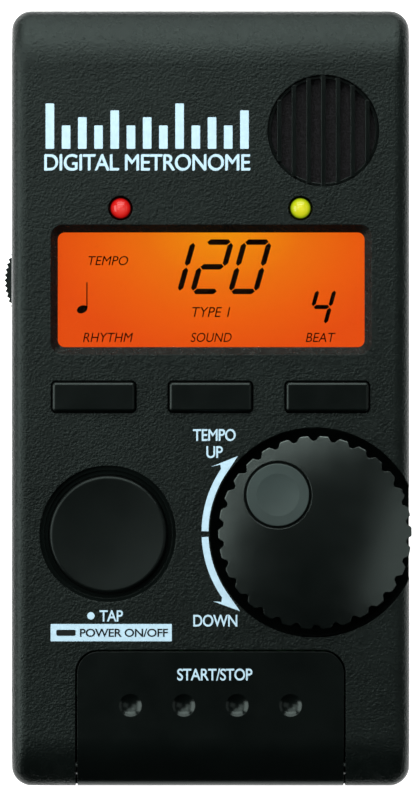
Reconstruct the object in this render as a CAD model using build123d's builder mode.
from build123d import *
import os
from math import cos, pi, radians, sin

# Pocket digital drum metronome, lying on its back. Millimetres.
# +Z points out of the front face, +X to the right, +Y towards the speaker end.
# The origin is the centre of the flat back face.

os.makedirs("parts", exist_ok=True)

# ---- Case ----
width = 58.0
length = 113.1
thickness = 21.0  # back face to the flat of the front face
wall = 1.6
front_wall = 1.8
seam_z = 9.0
plan_corner_r = 2.9
side_edge_r = 2.2
back_edge_r = 1.6
top_roll_start = 48.8  # where the front starts to fall away towards the speaker end
bottom_roll_start = 49.5
end_drop = 2.6
seam_groove = 0.25
half_w = width / 2
half_l = length / 2
ceiling_z = thickness - front_wall
inner_half_w = half_w - wall

# ---- Circuit board ----
board_top = 14.4
board_t = 1.0
board_bottom = board_top - board_t
board_half_w = 26.4
board_y0 = -43.5
board_y1 = 47.0
board_tab_half_w = 17.0
board_tab_l = 3.5
board_corner_r = 1.0

# ---- Speaker and grille ----
speaker_x = 16.44
speaker_y = 38.94
grille_d = 16.2
grille_rim_t = 0.5
grille_rim_w = 0.5
rib_pitch = 2.14
rib_w = 0.65
rib_count = 7
grille_top = thickness - 0.35
speaker_r = 10.0
cone_r = 8.7
magnet_r = 5.5
magnet_top = 15.8
pole_r = 3.0
pole_top = 16.4
basket_z = 17.4  # underside of the rim that the gasket sits on
basket_t = 1.0
cloth_t = 0.2

# ---- Indicator LEDs ----
led_x = 13.1
led_y = 27.66
led_r = 1.5
led_hole_r = 1.8
led_top = thickness + 0.7

# ---- Display ----
lcd_x = 0.1
lcd_y = 15.8
bezel_w = 46.75
bezel_l = 18.95
bezel_r = 1.75
sight_w = 44.7
sight_l = 16.7
sight_r = 1.0
bezel_depth = 1.2

# ---- Keys above the board ----
mode_x = [-17.0, 0.0, 17.0]
mode_y = 0.2
mode_w = 12.0
mode_l = 4.25
mode_gap = 0.25
mode_corner_r = 0.5
mode_top = thickness + 1.0
tap_x = -14.9
tap_y = -19.8
tap_r = 17.1 / 2
tap_ring_r = 10.0
tap_step_r = 9.35
tap_ring_depth = 0.7
tap_step_depth = 1.15
tap_hole_r = tap_r + 0.2
tap_top = thickness + 0.4
flange_top = ceiling_z - 0.1
flange_t = 0.8
stem_bottom = 16.7

# ---- Tempo dial ----
dial_x = 15.2
dial_y = -19.55
dial_well_r = 15.3
dial_tip_r = 14.05
dial_root_r = 13.35
dial_teeth = 30
dial_phase = 79.8
dial_bottom = 16.6
dial_edge_z = 22.4
dial_crown = 0.9
dial_shoulder = 0.25
dial_cavity_r = 11.5
dial_web_bottom = 20.4
well_floor_top = 16.2
well_floor_bottom = 14.8
well_wall = 1.2
shaft_r = 3.0
shaft_top = 21.2
encoder_side = 12.0
encoder_top = 18.2
cup_dx = -5.4
cup_dy = 5.5
cup_pocket_r = 9.9 / 2
cup_disc_r = 9.1 / 2
cup_pocket_floor = 22.0

# ---- Start/stop key ----
key_half_w = 19.4
key_gap = 0.3
key_top_y = -36.9
key_corner_r = 3.1
key_low_z = 11.8
key_skirt_z = 15.4
key_wall = 1.5
pivot_y = -53.9
pivot_z = 16.8
pivot_r = 1.0
key_pin_len = 1.5
dimple_x = [-11.65, -3.88, 3.88, 11.65]
dimple_y = -44.7
dimple_r = 1.65
dimple_depth = 0.6

# ---- Volume thumbwheel ----
wheel_x = -22.06
wheel_y = 17.3
wheel_r = 8.2
wheel_teeth = 64
wheel_tooth_h = 0.33
wheel_bottom = 9.4
wheel_top = 11.6
wheel_slot_top = 12.1
wheel_room = 0.4
wheel_hollow_r = 6.6
wheel_screw_r = 0.6
wheel_head_r = 1.6

# ---- Earphone jack ----
jack_y = 36.0
jack_z = 10.4
jack_bore_r = 1.78
jack_bore_len = 14.0
ferrule_r = 2.8

# ---- Batteries ----
cell_r = 5.25
cell_len = 44.5
cell_z = 1.7 + cell_r
cell_y = [-28.3, -17.1]
tub_half_w = 24.6
tub_y0 = -34.2
tub_y1 = -11.2
tub_wall = 1.0
tub_top = 13.2
tub_ceiling = 12.4
door_half_w = 24.0
door_tongue = 0.9
door_top_y = -11.4
door_t = 1.5
door_gap = 0.15

# ---- Screws ----
case_screw_top = (24.2, 50.9)
case_screw_low = (21.9, -46.6)
case_boss_r = 2.6
case_boss_low_r = 2.2
case_tube_wall = 0.9  # extra radius of the rear tubes around the front bosses
case_tube_low_wall = 0.6
case_head_r = 1.95
case_head_low_r = 1.85
case_head_t = 1.3
case_head_low_t = 1.2
case_pilot_z = 16.0
case_pilot_low_z = 13.0
head_play = 0.15
screw_shank_r = 1.25
shank_play = 0.1
board_screw_at = [(-24.4, 43.8), (24.6, 28.3), (-24.4, -38.6), (24.4, -38.6)]
board_post_r = 1.9
board_shank_r = 0.95
board_head_r = 1.7
board_head_t = 1.1
board_pilot_z = 17.8
pilot_spare = 0.5  # empty depth left beyond each screw's point
cross_w = 0.5
cross_depth = 0.6

# ---- Shared fits ----
snug = 0.02  # radial play of a fixed piece in its hole
running = 0.05  # radial play of a turning piece in its bearing
eps = 0.01  # overlap that joins one feature to the next
over = 1.0  # how far a cut runs past the face it opens


def save(part, name):
    """Name one finished sub-part and write its file."""
    part.label = name
    export_step(part, f"parts/{name}.step")


def disc(x, y, r, z0, z1, mode=Mode.ADD):
    """Upright cylinder between two heights, added to or cut from the open part."""
    with BuildSketch(Plane.XY.offset(z0)) as outline:
        with Locations((x, y)):
            Circle(r)
    extrude(outline.sketch, amount=z1 - z0, mode=mode)


def slab(x0, x1, y0, y1, z0, z1, mode=Mode.ADD):
    """Box between two corners, added to or cut from the open part."""
    with BuildSketch(Plane.XY.offset(z0)) as outline:
        with Locations(((x0 + x1) / 2, (y0 + y1) / 2)):
            Rectangle(x1 - x0, y1 - y0)
    extrude(outline.sketch, amount=z1 - z0, mode=mode)


def pill(x, y, w, h, r, z0, z1, mode=Mode.ADD):
    """Rounded rectangle prism centred on x, y."""
    with BuildSketch(Plane.XY.offset(z0)) as outline:
        with Locations((x, y)):
            RectangleRounded(w, h, r)
    extrude(outline.sketch, amount=z1 - z0, mode=mode)


def rod_x(x0, x1, y, z, r, mode=Mode.ADD):
    """Cylinder lying along X."""
    with BuildSketch(Plane.YZ.offset(x0)) as outline:
        with Locations((y, z)):
            Circle(r)
    extrude(outline.sketch, amount=x1 - x0, mode=mode)


def roll_radius(run):
    """Radius of the arc that leaves the flat tangentially and drops end_drop over run."""
    return (run * run + end_drop * end_drop) / (2 * end_drop)


def body_block(inset, base, top):
    """Case block with a flat front, rolled off at both ends, and rounded plan corners."""
    y1 = half_l - inset
    y0 = -y1
    low = top - end_drop
    with BuildPart() as block:
        with BuildSketch(Plane.YZ):
            with BuildLine():
                Line((y0, base), (y1, base))
                Line((y1, base), (y1, low))
                RadiusArc((y1, low), (top_roll_start, top), -roll_radius(y1 - top_roll_start))
                Line((top_roll_start, top), (-bottom_roll_start, top))
                RadiusArc((-bottom_roll_start, top), (y0, low), -roll_radius(y1 - bottom_roll_start))
                Line((y0, low), (y0, base))
            make_face()
        extrude(amount=half_w - inset, both=True)
        fillet(block.edges().filter_by(Axis.Z), max(plan_corner_r - inset, 0.8))
    return block.part


def on_rim(edge):
    """True for an edge that borders the front face and runs around the case."""
    middle = edge.center()
    near_side = half_w - abs(middle.X) < plan_corner_r or half_l - abs(middle.Y) < plan_corner_r
    upright = abs((edge % 0.5).Z) > 0.9
    return near_side and not upright and middle.Z > thickness - end_drop - side_edge_r / 2


# ---- Whole case outline, cut into the shells, the key and the battery door ----
with BuildPart() as outer:
    add(body_block(0, 0, thickness))
    fillet(outer.edges().filter_by(on_rim), side_edge_r)
    fillet(outer.faces().sort_by(Axis.Z)[0].edges(), back_edge_r)


# ---- Front case ----
notch_half_w = key_half_w + key_gap
notch_y = key_top_y + key_gap
notch_wall = 1.5
notch_rail_z = board_top + 0.2
well_outer_r = dial_well_r + well_wall
encoder_window = encoder_side + 0.6

with BuildPart() as front_case:
    add(outer.part)
    split(bisect_by=Plane.XY.offset(seam_z), keep=Keep.TOP)
    chamfer(front_case.faces().sort_by(Axis.Z)[0].edges(), seam_groove)
    add(body_block(wall, seam_z - wall, ceiling_z), mode=Mode.SUBTRACT)
    # dial well, key rails, screw posts
    disc(dial_x, dial_y, well_outer_r, well_floor_bottom, ceiling_z + eps)
    slab(-notch_half_w - notch_wall, notch_half_w + notch_wall, -half_l + wall / 2,
         notch_y + notch_wall, notch_rail_z, ceiling_z + front_wall / 2)
    for side in (-1, 1):
        disc(side * case_screw_top[0], case_screw_top[1], case_boss_r, seam_z, ceiling_z)
        disc(side * case_screw_low[0], case_screw_low[1], case_boss_low_r, seam_z, ceiling_z + eps)
    for x, y in board_screw_at:
        disc(x, y, board_post_r, board_top, ceiling_z + eps)
    add(outer.part, mode=Mode.INTERSECT)
    # openings in the front face
    disc(speaker_x, speaker_y, grille_d / 2 + running, 0, 2 * thickness, Mode.SUBTRACT)
    for side in (-1, 1):
        disc(side * led_x, led_y, led_hole_r, 0, 2 * thickness, Mode.SUBTRACT)
    with BuildSketch(Plane.XY.offset(thickness)):
        with Locations((lcd_x, lcd_y)):
            RectangleRounded(bezel_w, bezel_l, bezel_r)
    with BuildSketch(Plane.XY.offset(thickness - bezel_depth)):
        with Locations((lcd_x, lcd_y)):
            RectangleRounded(sight_w, sight_l, sight_r)
    loft(mode=Mode.SUBTRACT)
    pill(lcd_x, lcd_y, sight_w, sight_l, sight_r, ceiling_z - over, thickness - bezel_depth + eps,
         Mode.SUBTRACT)
    for x in mode_x:
        pill(x, mode_y, mode_w + 2 * mode_gap, mode_l + 2 * mode_gap, mode_corner_r + mode_gap,
             ceiling_z - over, thickness + over, Mode.SUBTRACT)
    disc(tap_x, tap_y, tap_ring_r, thickness - tap_ring_depth, thickness + over, Mode.SUBTRACT)
    disc(tap_x, tap_y, tap_step_r, thickness - tap_step_depth, thickness, Mode.SUBTRACT)
    disc(tap_x, tap_y, tap_hole_r, ceiling_z - over, thickness, Mode.SUBTRACT)
    disc(dial_x, dial_y, dial_well_r, well_floor_top, thickness + over, Mode.SUBTRACT)
    slab(dial_x - encoder_window / 2, dial_x + encoder_window / 2, dial_y - encoder_window / 2,
         dial_y + encoder_window / 2, well_floor_bottom - over, well_floor_top + over, Mode.SUBTRACT)
    # opening for the start/stop key, with its rounded upper corners and pin holes
    with BuildSketch(Plane.XY.offset(key_low_z - key_gap)):
        with Locations((0, notch_y)):
            RectangleRounded(2 * notch_half_w, length, key_corner_r + key_gap,
                             align=(Align.CENTER, Align.MAX))
    extrude(amount=thickness, mode=Mode.SUBTRACT)
    rod_x(-notch_half_w - notch_wall - eps, notch_half_w + notch_wall + eps, pivot_y, pivot_z,
          pivot_r + running, Mode.SUBTRACT)
    # side openings
    disc(wheel_x, wheel_y, wheel_r + wheel_room, seam_z - over, wheel_slot_top, Mode.SUBTRACT)
    rod_x(-half_w - over, -inner_half_w + over, jack_y, jack_z, ferrule_r + running, Mode.SUBTRACT)
    # pilot holes
    for side in (-1, 1):
        disc(side * case_screw_top[0], case_screw_top[1], screw_shank_r + snug, seam_z - over,
             case_pilot_z, Mode.SUBTRACT)
        disc(side * case_screw_low[0], case_screw_low[1], screw_shank_r + snug, seam_z - over,
             case_pilot_low_z, Mode.SUBTRACT)
    for x, y in board_screw_at:
        disc(x, y, board_shank_r + snug, board_top - over, board_pilot_z, Mode.SUBTRACT)
save(front_case.part, "front_case")


# ---- Rear case with the battery tub ----
slot_half_w = door_half_w + door_gap
groove_half_w = door_half_w + door_tongue + door_gap
tongue_z0 = 0.5
tongue_z1 = 1.0
bed_z = wall
bed_t = 1.3
head_recess = 3.0
tub_outer_half_w = tub_half_w + tub_wall
groove_play = 0.1
label_y = 23.0
label_w = 38.0
label_l = 20.0
label_r = 1.5
label_depth = 0.2

with BuildPart() as rear_case:
    add(outer.part)
    split(bisect_by=Plane.XY.offset(seam_z), keep=Keep.BOTTOM)
    chamfer(rear_case.faces().sort_by(Axis.Z)[-1].edges(), seam_groove)
    add(body_block(wall, wall, 2 * thickness), mode=Mode.SUBTRACT)
    # battery tub, door bed and screw tubes
    slab(-tub_outer_half_w, tub_outer_half_w, tub_y0 - tub_wall, tub_y1 + tub_wall, wall / 2, tub_top)
    slab(-tub_outer_half_w, tub_outer_half_w, -half_l + wall / 2, tub_y0, wall / 2, bed_z + bed_t)
    for side in (-1, 1):
        disc(side * case_screw_top[0], case_screw_top[1], case_boss_r + case_tube_wall, wall / 2, seam_z)
        disc(side * case_screw_low[0], case_screw_low[1], case_boss_low_r + case_tube_low_wall,
             wall / 2, seam_z)
    slab(-tub_half_w, tub_half_w, tub_y0, tub_y1, wall, tub_ceiling, Mode.SUBTRACT)
    # door slot, its side grooves and the opening to the cells
    slab(-slot_half_w, slot_half_w, -half_l - over, tub_y1, -over, bed_z, Mode.SUBTRACT)
    slab(-groove_half_w, groove_half_w, -half_l - over, tub_y1, tongue_z0 - groove_play,
         tongue_z1 + groove_play, Mode.SUBTRACT)
    # side openings shared with the front case
    rod_x(-half_w - over, -inner_half_w + over, jack_y, jack_z, ferrule_r + running, Mode.SUBTRACT)
    # screw holes
    for side in (-1, 1):
        for (x, y), r in ((case_screw_top, case_head_r), (case_screw_low, case_head_low_r)):
            disc(side * x, y, r + head_play, -over, head_recess, Mode.SUBTRACT)
            disc(side * x, y, screw_shank_r + shank_play, 0, seam_z + over, Mode.SUBTRACT)
    # shallow field for a rating label
    pill(0, label_y, label_w, label_l, label_r, -over, label_depth, Mode.SUBTRACT)
save(rear_case.part, "rear_case")


# ---- Battery door: slides off over the lower end ----
grip_grooves = 5
grip_y = -47.0
grip_pitch = 1.6
grip_w = 15.0
grip_l = 0.7
grip_r = 0.3
grip_depth = 0.4
tongue_start = 2.0  # from the lower end
with BuildPart() as battery_door:
    add(outer.part)
    slab(-door_half_w, door_half_w, -half_l - over, door_top_y, -over, door_t, Mode.INTERSECT)
    slab(-door_half_w - door_tongue, door_half_w + door_tongue, -half_l + tongue_start, door_top_y,
         tongue_z0, tongue_z1)
    for i in range(grip_grooves):
        pill(0, grip_y + grip_pitch * i, grip_w, grip_l, grip_r, -over, grip_depth, Mode.SUBTRACT)
save(battery_door.part, "battery_door")


# ---- Display stack ----
window_lip = 1.25
window_play = 0.1
window_lip_t = 0.9
window_step = 0.5
window_top = ceiling_z - window_play
with BuildPart() as display_window:
    pill(lcd_x, lcd_y, sight_w + 2 * window_lip, sight_l + 2 * window_lip, sight_r,
         window_top - window_lip_t, window_top)
    pill(lcd_x, lcd_y, sight_w - 2 * window_play, sight_l - 2 * window_play, sight_r, window_top - eps,
         ceiling_z + window_step)
save(display_window.part, "display_window")

glass_w = 46.4
glass_l = 18.4
glass_top = 18.1
glass_bottom = 16.2
glass_corner_r = 0.4
glass_ledge = 0.7
lower_pane_t = 1.0
with BuildPart() as lcd_glass:
    pill(lcd_x, lcd_y, glass_w, glass_l, glass_corner_r, glass_bottom, glass_top)
    # lower pane stands proud as the contact ledge, so the upper pane is a little shorter
    slab(lcd_x - glass_w, lcd_x + glass_w, lcd_y - glass_l, lcd_y - glass_l / 2 + glass_ledge,
         glass_bottom + lower_pane_t, glass_top + over, Mode.SUBTRACT)
save(lcd_glass.part, "lcd_glass")

guide_play = 0.1
with BuildPart() as backlight_guide:
    pill(lcd_x, lcd_y, sight_w + 0.5, sight_l + 0.1, 0.5, board_top + guide_play, glass_bottom - guide_play)
save(backlight_guide.part, "backlight_guide")

frame_side = 1.0
frame_end = 0.7
frame_play_w = 0.15
frame_play_l = 0.05
with BuildPart() as lcd_frame:
    pill(lcd_x, lcd_y, glass_w + 2 * frame_side, glass_l + 2 * frame_end, 2 * glass_corner_r,
         board_top, glass_top - 0.1)
    pill(lcd_x, lcd_y, glass_w + 2 * frame_play_w, glass_l + 2 * frame_play_l, glass_corner_r,
         board_top - over, glass_top + over, Mode.SUBTRACT)
save(lcd_frame.part, "lcd_frame")

strip_offset = glass_l / 2 - 0.4
strip_half_w = 22.0
strip_half_l = 0.3
with BuildPart() as contact_strips:
    for side in (-1, 1):
        y = lcd_y + side * strip_offset
        slab(lcd_x - strip_half_w, lcd_x + strip_half_w, y - strip_half_l, y + strip_half_l,
             board_top, glass_bottom)
save(contact_strips.part, "contact_strips")


# ---- Indicator LEDs ----
led_flange_z0 = 16.4
led_flange_z1 = 17.4
led_flange = 0.4
lead_offset = 1.27
lead_half = 0.25


def indicator(x):
    """3 mm LED: flanged lens with a domed tip, on two square leads."""
    with BuildPart() as lamp:
        disc(x, led_y, led_r + led_flange, led_flange_z0, led_flange_z1)
        disc(x, led_y, led_r, led_flange_z1 - eps, led_top)
        fillet(lamp.faces().sort_by(Axis.Z)[-1].edges(), led_r - 0.05)
        for side in (-1, 1):
            lead = x + side * lead_offset
            slab(lead - lead_half, lead + lead_half, led_y - lead_half, led_y + lead_half,
                 board_top, led_flange_z0 + eps)
    return lamp.part


save(indicator(-led_x), "red_led")
save(indicator(led_x), "green_led")


# ---- Speaker and grille ----
with BuildPart() as speaker_grille:
    disc(speaker_x, speaker_y, grille_d / 2, ceiling_z, ceiling_z + grille_rim_t)
    disc(speaker_x, speaker_y, grille_d / 2 - grille_rim_w, 0, thickness, Mode.SUBTRACT)
    for i in range(rib_count):
        dx = (i - (rib_count - 1) / 2) * rib_pitch
        half = ((grille_d / 2) ** 2 - (abs(dx) + rib_w / 2) ** 2) ** 0.5
        slab(speaker_x + dx - rib_w / 2, speaker_x + dx + rib_w / 2, speaker_y - half, speaker_y + half,
             ceiling_z, grille_top)
save(speaker_grille.part, "speaker_grille")

with BuildPart() as speaker_cloth:
    disc(speaker_x, speaker_y, cone_r, ceiling_z - cloth_t, ceiling_z)
save(speaker_cloth.part, "speaker_cloth")

with BuildPart() as speaker_gasket:
    disc(speaker_x, speaker_y, speaker_r, basket_z + basket_t, ceiling_z)
    disc(speaker_x, speaker_y, cone_r + 0.1, 0, thickness, Mode.SUBTRACT)
save(speaker_gasket.part, "speaker_gasket")

speaker_axis = Axis((speaker_x, speaker_y, 0), (0, 0, 1))
speaker_section = Plane(origin=(speaker_x, speaker_y, 0), x_dir=(1, 0, 0), z_dir=(0, -1, 0))
with BuildPart() as speaker_frame:
    with BuildSketch(speaker_section):
        with BuildLine():
            Polyline((magnet_r + 0.1, magnet_top), (7.2, magnet_top), (9.5, basket_z), (speaker_r, basket_z),
                     (speaker_r, basket_z + basket_t), (8.9, basket_z + basket_t), (6.9, magnet_top + 0.7),
                     (magnet_r + 0.1, magnet_top + 0.7), close=True)
        make_face()
    revolve(axis=speaker_axis)
save(speaker_frame.part, "speaker_frame")

with BuildPart() as speaker_magnet:
    disc(speaker_x, speaker_y, magnet_r, board_top + 0.1, magnet_top)
    disc(speaker_x, speaker_y, pole_r, magnet_top - eps, pole_top)
save(speaker_magnet.part, "speaker_magnet")

with BuildPart() as speaker_cone:
    with BuildSketch(speaker_section):
        with BuildLine():
            Polyline((0, basket_z + 0.5), (3.4, basket_z), (6.6, basket_z + 0.5), (cone_r, basket_z + 1.1),
                     (cone_r, basket_z + 1.3), (6.5, basket_z + 0.75), (3.4, basket_z + 0.25),
                     (0, basket_z + 0.75), close=True)
        make_face()
    revolve(axis=speaker_axis)
save(speaker_cone.part, "speaker_cone")

lead_z = 15.2
lead_pad_x = 4.6
lead_gap = 3.0
lead_start = speaker_x - magnet_r
with BuildPart() as speaker_leads:
    for y in (speaker_y - lead_gap / 2, speaker_y + lead_gap / 2):
        with BuildLine() as route:
            FilletPolyline((lead_start, y, lead_z), (lead_pad_x, y, lead_z), (lead_pad_x, y, board_top),
                           radius=0.4)
        with BuildSketch(Plane(origin=(lead_start, y, lead_z), z_dir=(-1, 0, 0))):
            Circle(0.3)
        sweep(path=route.line)
save(speaker_leads.part, "speaker_leads")


# ---- Circuit board and the parts soldered to it ----
with BuildPart() as main_board:
    slab(-board_half_w, board_half_w, board_y0, board_y1, board_bottom, board_top)
    slab(-board_tab_half_w, board_tab_half_w, board_y0 - board_tab_l, board_y0 + eps,
         board_bottom, board_top)
    fillet(main_board.edges().filter_by(Axis.Z).group_by(Axis.Y)[-1], board_corner_r)
    for x, y in board_screw_at:
        disc(x, y, board_shank_r + shank_play, 0, thickness, Mode.SUBTRACT)
save(main_board.part, "main_board")

chip_x = -8.0
chip_y = 38.0
chip_half = 4.5
chip_t = 1.2
pin_count = 10
pin_pitch = 0.8
pin_half_w = 0.15
pin_reach = 0.9
pin_t = 0.25
with BuildPart() as processor_chip:
    slab(chip_x - chip_half, chip_x + chip_half, chip_y - chip_half, chip_y + chip_half,
         board_top, board_top + chip_t)
    for i in range(pin_count):
        step = (i - (pin_count - 1) / 2) * pin_pitch
        slab(chip_x - chip_half - pin_reach, chip_x + chip_half + pin_reach, chip_y + step - pin_half_w,
             chip_y + step + pin_half_w, board_top, board_top + pin_t)
        slab(chip_x + step - pin_half_w, chip_x + step + pin_half_w, chip_y - chip_half - pin_reach,
             chip_y + chip_half + pin_reach, board_top, board_top + pin_t)
save(processor_chip.part, "processor_chip")

crystal_x = -18.0
crystal_w = 4.6
crystal_l = 10.6
crystal_h = 3.5
with BuildPart() as timing_crystal:
    pill(crystal_x, chip_y, crystal_w, crystal_l, crystal_w / 2 - 0.1, board_top, board_top + crystal_h)
save(timing_crystal.part, "timing_crystal")

capacitor_x = 1.2
capacitor_y = [31.2, 44.5]
capacitor_r = 2.0
capacitor_h = 4.2
with BuildPart() as capacitors:
    for y in capacitor_y:
        disc(capacitor_x, y, capacitor_r, board_top, board_top + capacitor_h)
save(capacitors.part, "capacitors")


# ---- Rotary encoder and tempo dial ----
shaft_bottom = 15.6
shaft_flat = 0.8
with BuildPart() as encoder_body:
    slab(dial_x - encoder_side / 2, dial_x + encoder_side / 2, dial_y - encoder_side / 2,
         dial_y + encoder_side / 2, board_top, encoder_top)
    disc(dial_x, dial_y, shaft_r + running, shaft_bottom - running, thickness, Mode.SUBTRACT)
save(encoder_body.part, "encoder_body")

with BuildPart() as encoder_shaft:
    disc(dial_x, dial_y, shaft_r, shaft_bottom, shaft_top)
    # D flat on the driven end
    slab(dial_x + shaft_r - shaft_flat, dial_x + 2 * shaft_r, dial_y - shaft_r, dial_y + shaft_r,
         encoder_top + 0.2, thickness + over, Mode.SUBTRACT)
save(encoder_shaft.part, "encoder_shaft")

cup_x = dial_x + cup_dx
cup_y = dial_y + cup_dy
stem_r = 1.2
hub_r = 5.0
hub_bottom = encoder_top + 0.4
tooth_angle = 360 / dial_teeth
tooth_outline = [(0.0, dial_root_r), (0.2, dial_tip_r), (0.62, dial_tip_r), (0.82, dial_root_r)]
tooth_fillet = 0.28
blank_r = dial_tip_r + 0.1
rim_z = dial_edge_z - dial_shoulder
crown_r = blank_r - dial_shoulder
crown_sphere_r = (crown_r ** 2 + dial_crown ** 2) / (2 * dial_crown)
with BuildPart() as tempo_dial:
    # toothed blank: each tooth is a tip land with sloping flanks down to the root
    with BuildSketch(Plane.XY.offset(dial_bottom)) as blank:
        with BuildLine():
            rim = []
            for i in range(dial_teeth):
                start = dial_phase + i * tooth_angle
                for part_way, r in tooth_outline:
                    turn = radians(start + part_way * tooth_angle)
                    rim.append((dial_x + r * cos(turn), dial_y + r * sin(turn)))
            Polyline(*rim, close=True)
        make_face()
        fillet(blank.vertices(), tooth_fillet)
    extrude(amount=thickness)
    # domed top with a rounded shoulder
    with BuildSketch(Plane(origin=(dial_x, dial_y, 0), x_dir=(1, 0, 0), z_dir=(0, -1, 0))):
        with BuildLine():
            Line((0, dial_bottom), (blank_r, dial_bottom))
            Line((blank_r, dial_bottom), (blank_r, rim_z))
            RadiusArc((blank_r, rim_z), (crown_r, dial_edge_z), -dial_shoulder)
            RadiusArc((crown_r, dial_edge_z), (0, dial_edge_z + dial_crown), -crown_sphere_r)
            Line((0, dial_edge_z + dial_crown), (0, dial_bottom))
        make_face()
    revolve(axis=Axis((dial_x, dial_y, 0), (0, 0, 1)), mode=Mode.INTERSECT)
    # hollow underside with a hub and D bore
    disc(dial_x, dial_y, dial_cavity_r, 0, dial_web_bottom, Mode.SUBTRACT)
    disc(dial_x, dial_y, hub_r, hub_bottom, dial_web_bottom + eps)
    with BuildSketch(Plane.XY) as bore:
        with Locations((dial_x, dial_y)):
            Circle(shaft_r + snug)
        with Locations((dial_x + shaft_r - shaft_flat + snug, dial_y)):
            Rectangle(4 * shaft_r, 4 * shaft_r, align=(Align.MIN, Align.CENTER), mode=Mode.SUBTRACT)
    extrude(amount=shaft_top + running, mode=Mode.SUBTRACT)
    # pocket and bearing hole for the finger disc
    disc(cup_x, cup_y, cup_pocket_r, cup_pocket_floor, 2 * thickness, Mode.SUBTRACT)
    disc(cup_x, cup_y, stem_r + running, dial_web_bottom - over, 2 * thickness, Mode.SUBTRACT)
save(tempo_dial.part, "tempo_dial")

disc_top = 23.0
disc_bottom = cup_pocket_floor + 0.1
disc_edge = 0.12
dish_r = 3.1
dish_depth = 0.18
dish_sphere_r = (dish_r ** 2 + dish_depth ** 2) / (2 * dish_depth)
with BuildPart() as finger_disc:
    disc(cup_x, cup_y, cup_disc_r, disc_bottom, disc_top)
    fillet(finger_disc.faces().sort_by(Axis.Z)[-1].edges(), disc_edge)
    with Locations((cup_x, cup_y, disc_top - dish_depth + dish_sphere_r)):
        Sphere(dish_sphere_r, mode=Mode.SUBTRACT)
    disc(cup_x, cup_y, stem_r, 19.7, disc_bottom + eps)
save(finger_disc.part, "finger_disc")

with BuildPart() as disc_clip:
    disc(cup_x, cup_y, 2.1, 19.9, dial_web_bottom - 0.1)
    disc(cup_x, cup_y, stem_r, 0, thickness, Mode.SUBTRACT)
save(disc_clip.part, "disc_clip")


# ---- Push buttons ----
def top_edges(part):
    """Edges of a button's highest face."""
    return part.faces().sort_by(Axis.Z)[-1].edges()


mode_edge = 0.4
mode_flange_w = 0.7
mode_flange_l = 0.6
mode_stem_r = 1.3


def mode_button(x):
    """Rectangular cap with a captive flange and a stem for its dome."""
    with BuildPart() as cap:
        pill(x, mode_y, mode_w, mode_l, mode_corner_r, flange_top - flange_t, mode_top)
        fillet(top_edges(cap), mode_edge)
        pill(x, mode_y, mode_w + 2 * mode_flange_w, mode_l + 2 * mode_flange_l, mode_corner_r,
             flange_top - flange_t, flange_top)
        disc(x, mode_y, mode_stem_r, stem_bottom, flange_top)
    return cap.part


save(mode_button(mode_x[0]), "rhythm_button")
save(mode_button(mode_x[1]), "sound_button")
save(mode_button(mode_x[2]), "beat_button")

tap_dish = 0.45
tap_edge = 0.45
tap_flange = 0.9
tap_skirt = 1.3
tap_web = 1.1
tap_stem_r = 1.8
tap_dish_r = tap_r - 0.5
tap_sphere_r = (tap_dish_r ** 2 + tap_dish ** 2) / (2 * tap_dish)
with BuildPart() as tap_button:
    disc(tap_x, tap_y, tap_r, flange_top - flange_t, tap_top)
    fillet(top_edges(tap_button), tap_edge)
    with Locations((tap_x, tap_y, tap_top - tap_dish + tap_sphere_r)):
        Sphere(tap_sphere_r, mode=Mode.SUBTRACT)
    disc(tap_x, tap_y, tap_r + tap_flange, flange_top - flange_t, flange_top)
    disc(tap_x, tap_y, tap_r - tap_skirt, 0, tap_top - tap_dish - tap_web, Mode.SUBTRACT)
    disc(tap_x, tap_y, tap_stem_r, stem_bottom, tap_top - tap_dish - tap_web + eps)
save(tap_button.part, "tap_button")


# ---- Start/stop key: a tilting cover that wraps over the lower end ----
plunger_y = -43.5
plunger_r = 1.5
plunger_z = board_top + 2.55
end_wall_y = pivot_y + 1.4
dimple_sphere_r = (dimple_r ** 2 + dimple_depth ** 2) / (2 * dimple_depth)
with BuildPart() as start_stop_key:
    add(outer.part)
    with BuildSketch(Plane.XY.offset(key_low_z)):
        with Locations((0, key_top_y)):
            RectangleRounded(2 * key_half_w, length, key_corner_r, align=(Align.CENTER, Align.MAX))
    extrude(amount=thickness, mode=Mode.INTERSECT)
    with BuildPart(mode=Mode.PRIVATE) as hollow:
        add(body_block(key_wall, 0, thickness - key_wall))
        slab(-key_half_w + key_wall, key_half_w - key_wall, -length, key_top_y - key_wall, -over, thickness,
             Mode.INTERSECT)
    add(hollow.part, mode=Mode.SUBTRACT)
    # side and top skirts stop above the board; only the end wall reaches lower
    slab(-half_w, half_w, end_wall_y, 0, 0, key_skirt_z, Mode.SUBTRACT)
    disc(0, plunger_y, plunger_r, plunger_z, thickness - key_wall + eps)
    for side in (-1, 1):
        inner = side * (key_half_w - eps)
        outer_end = side * (key_half_w + key_pin_len)
        rod_x(min(inner, outer_end), max(inner, outer_end), pivot_y, pivot_z, pivot_r)
    for x in dimple_x:
        with Locations((x, dimple_y, thickness - dimple_depth + dimple_sphere_r)):
            Sphere(dimple_sphere_r, mode=Mode.SUBTRACT)
save(start_stop_key.part, "start_stop_key")


# ---- Silicone domes under the keys ----
dome_base_r = 2.3
dome_foot_r = 1.9
dome_crown_r = 1.2
dome_bore_r = 0.9
dome_base_t = 0.4
dome_h = 2.25
dome_bore_h = 1.7


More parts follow.
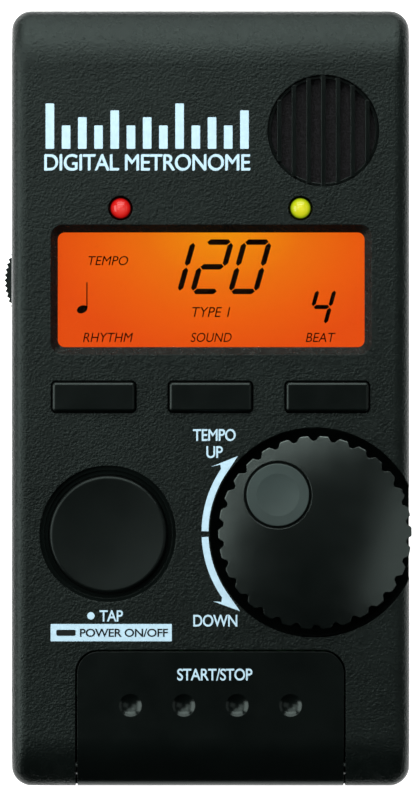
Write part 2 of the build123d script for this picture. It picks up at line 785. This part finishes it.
def key_dome(x, y):
    """Hollow cone-shaped spring cap that stands on the board."""
    with BuildPart() as dome:
        disc(x, y, dome_base_r, board_top, board_top + dome_base_t)
        with BuildSketch(Plane.XY.offset(board_top + dome_base_t - eps)) as foot:
            with Locations((x, y)):
                Circle(dome_foot_r)
        with BuildSketch(Plane.XY.offset(board_top + dome_h)) as crown:
            with Locations((x, y)):
                Circle(dome_crown_r)
        loft([foot.sketch, crown.sketch])
        disc(x, y, dome_bore_r, 0, board_top + dome_bore_h, Mode.SUBTRACT)
    return dome.part


save(key_dome(mode_x[0], mode_y), "rhythm_dome")
save(key_dome(mode_x[1], mode_y), "sound_dome")
save(key_dome(mode_x[2], mode_y), "beat_dome")
save(key_dome(tap_x, tap_y), "tap_dome")
save(key_dome(0, plunger_y), "start_stop_dome")


# ---- Volume thumbwheel ----
spindle_r = 1.5
wheel_root_r = wheel_r - wheel_tooth_h
with BuildPart() as volume_wheel:
    with BuildSketch(Plane.XY.offset(wheel_bottom)):
        with BuildLine():
            ridge = []
            for i in range(2 * wheel_teeth):
                turn = pi * i / wheel_teeth
                r = wheel_r if i % 2 == 0 else wheel_root_r
                ridge.append((wheel_x + r * cos(turn), wheel_y + r * sin(turn)))
            Polyline(*ridge, close=True)
        make_face()
    extrude(amount=wheel_top - wheel_bottom)
    disc(wheel_x, wheel_y, spindle_r, wheel_top - eps, board_bottom - 0.3)
    disc(wheel_x, wheel_y, wheel_hollow_r, 0, wheel_bottom + 0.4, Mode.SUBTRACT)
    disc(wheel_x, wheel_y, wheel_screw_r, 0, wheel_top + 0.6, Mode.SUBTRACT)
save(volume_wheel.part, "volume_wheel")

with BuildPart() as wheel_screw:
    disc(wheel_x, wheel_y, wheel_head_r, wheel_bottom - 0.4, wheel_bottom + 0.4)
    disc(wheel_x, wheel_y, wheel_screw_r - snug, wheel_bottom + 0.4 - eps, wheel_top + 0.4)
    slab(wheel_x - 2, wheel_x + 2, wheel_y - 0.25, wheel_y + 0.25, 0, wheel_bottom - 0.1, Mode.SUBTRACT)
save(wheel_screw.part, "wheel_screw")

control_half = 4.5
with BuildPart() as volume_control:
    slab(wheel_x - control_half, wheel_x + control_half, wheel_y - control_half, wheel_y + control_half,
         wheel_top + 0.2, board_bottom)
    disc(wheel_x, wheel_y, spindle_r + running, 0, board_bottom - 0.25, Mode.SUBTRACT)
save(volume_control.part, "volume_control")


# ---- Earphone jack ----
jack_mouth = -half_w + 0.1
jack_front = -inner_half_w + 0.1
jack_back = jack_front + 14.6
jack_half_l = 3.2
jack_half_h = 2.7
with BuildPart() as earphone_jack:
    slab(jack_front, jack_back, jack_y - jack_half_l, jack_y + jack_half_l,
         jack_z - jack_half_h, jack_z + jack_half_h)
    rod_x(jack_mouth, jack_front + eps, jack_y, jack_z, ferrule_r)
    rod_x(jack_mouth - over, jack_mouth + jack_bore_len, jack_y, jack_z, jack_bore_r, Mode.SUBTRACT)
save(earphone_jack.part, "earphone_jack")


# ---- Cells and contacts ----
nub_len = 0.8
nub_r = 1.9
can_r = cell_r - 0.1
can_edge = 0.4
half_cell = cell_len / 2


def battery(y, nub_side):
    """AAA cell along X: can, raised contact at one end."""
    can0 = -half_cell + (nub_len if nub_side < 0 else 0)
    can1 = half_cell - (nub_len if nub_side > 0 else 0)
    with BuildPart() as cell:
        rod_x(can0, can1, y, cell_z, can_r)
        fillet(cell.edges(), can_edge)
        rod_x(-half_cell if nub_side < 0 else can1 - eps, can0 + eps if nub_side < 0 else half_cell,
              y, cell_z, nub_r)
    return cell.part


save(battery(cell_y[0], -1), "battery_1")
save(battery(cell_y[1], 1), "battery_2")

plate_t = 0.4
plate_half = 4.2
plate_bump_r = 1.6
plate_x = tub_half_w - 0.05
with BuildPart() as battery_contacts:
    # left end: one plate per cell; right end: one plate that bridges both cells
    for y in cell_y:
        slab(-plate_x, -plate_x + plate_t, y - plate_half, y + plate_half,
             cell_z - plate_half, cell_z + plate_half)
    slab(plate_x - plate_t, plate_x, cell_y[0] - plate_half, cell_y[1] + plate_half,
         cell_z - plate_half, cell_z + plate_half)
    rod_x(-plate_x + plate_t - eps, -half_cell, cell_y[0], cell_z, plate_bump_r)
    rod_x(half_cell, plate_x - plate_t + eps, cell_y[1], cell_z, plate_bump_r)
save(battery_contacts.part, "battery_contacts")

coil_r = 3.0
coil_wire_r = 0.22
coil_turns = 3
coil_len = plate_x - plate_t - half_cell - 2 * coil_wire_r
with BuildPart() as battery_springs:
    for x, y, way in ((half_cell + coil_wire_r, cell_y[0], 1), (-half_cell - coil_wire_r, cell_y[1], -1)):
        with BuildLine() as coil:
            Helix(pitch=coil_len / coil_turns, height=coil_len, radius=coil_r,
                  center=(x, y, cell_z), direction=(way, 0, 0))
        with BuildSketch(Plane(origin=coil.line @ 0, z_dir=coil.line % 0)):
            Circle(coil_wire_r)
        sweep(path=coil.line, is_frenet=True)
save(battery_springs.part, "battery_springs")


# ---- Screws ----
def screw_up(x, y, head_r, head_z, head_t, shank, shank_top):
    """Pan-head screw pointing up, with a cross recess in its head."""
    disc(x, y, head_r, head_z, head_z + head_t)
    disc(x, y, shank, head_z + head_t - eps, shank_top)
    for w, h in ((cross_w, head_r * 1.3), (head_r * 1.3, cross_w)):
        slab(x - w / 2, x + w / 2, y - h / 2, y + h / 2, head_z - over, head_z + cross_depth, Mode.SUBTRACT)


with BuildPart() as case_screws:
    for side in (-1, 1):
        screw_up(side * case_screw_top[0], case_screw_top[1], case_head_r, head_recess - case_head_t,
                 case_head_t, screw_shank_r, case_pilot_z - pilot_spare)
        screw_up(side * case_screw_low[0], case_screw_low[1], case_head_low_r, head_recess - case_head_low_t,
                 case_head_low_t, screw_shank_r, case_pilot_low_z - pilot_spare)
save(case_screws.part, "case_screws")

with BuildPart() as board_screws:
    for x, y in board_screw_at:
        screw_up(x, y, board_head_r, board_bottom - board_head_t, board_head_t, board_shank_r,
                 board_pilot_z - pilot_spare)
save(board_screws.part, "board_screws")
